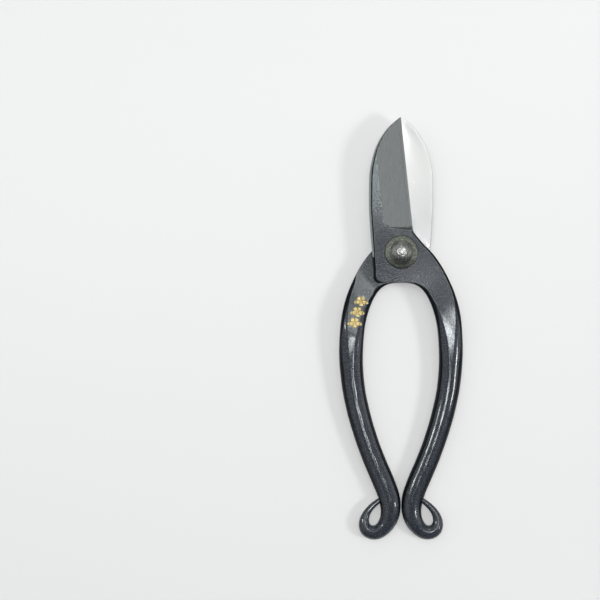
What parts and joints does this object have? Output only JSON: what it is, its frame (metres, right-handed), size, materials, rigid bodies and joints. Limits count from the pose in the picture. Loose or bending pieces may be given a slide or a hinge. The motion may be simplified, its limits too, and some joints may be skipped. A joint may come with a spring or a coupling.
{
  "type": "floral snips",
  "caption": "Forged flower-arranging snips: two crossing halves with wedge blades and curled bow handles, turning on a peened rivet with domed washers.",
  "frame": {"origin": "on the pivot axis, at the flat end of the rear rivet head, which is what the snips rest on", "axes": "+Y to the blade points, +X to the side of the front half's handle, +Z out of the front half's face along the pivot axis"},
  "size_m": [0.0528, 0.1799, 0.0146],
  "materials": {
    "lacquered_steel": "black forged skin under a semi-gloss lacquer, with ground steel on the blade bevels and mirror-polished inner faces",
    "rivet_steel": "bright peened end",
    "washer_steel": "smooth, with a dull olive-grey patina",
    "gold_fill": "satin gold lacquer in a stamped recess"
  },
  "bodies": {
    "rear": {"rear_half": "lacquered_steel", "mark_inlay_upper": "gold_fill", "mark_inlay_middle": "gold_fill", "mark_inlay_lower": "gold_fill"},
    "front": {"front_half": "lacquered_steel", "pivot_rivet": "rivet_steel", "front_washer": "washer_steel", "rear_washer": "washer_steel"}
  },
  "joints": [
    {"name": "blade_pivot", "type": "hinge", "parent": "rear", "child": "front", "pos_m": [0, 0, 0.0073], "axis": [0, 0, 1], "range_deg": [0, 45]}
  ]
}
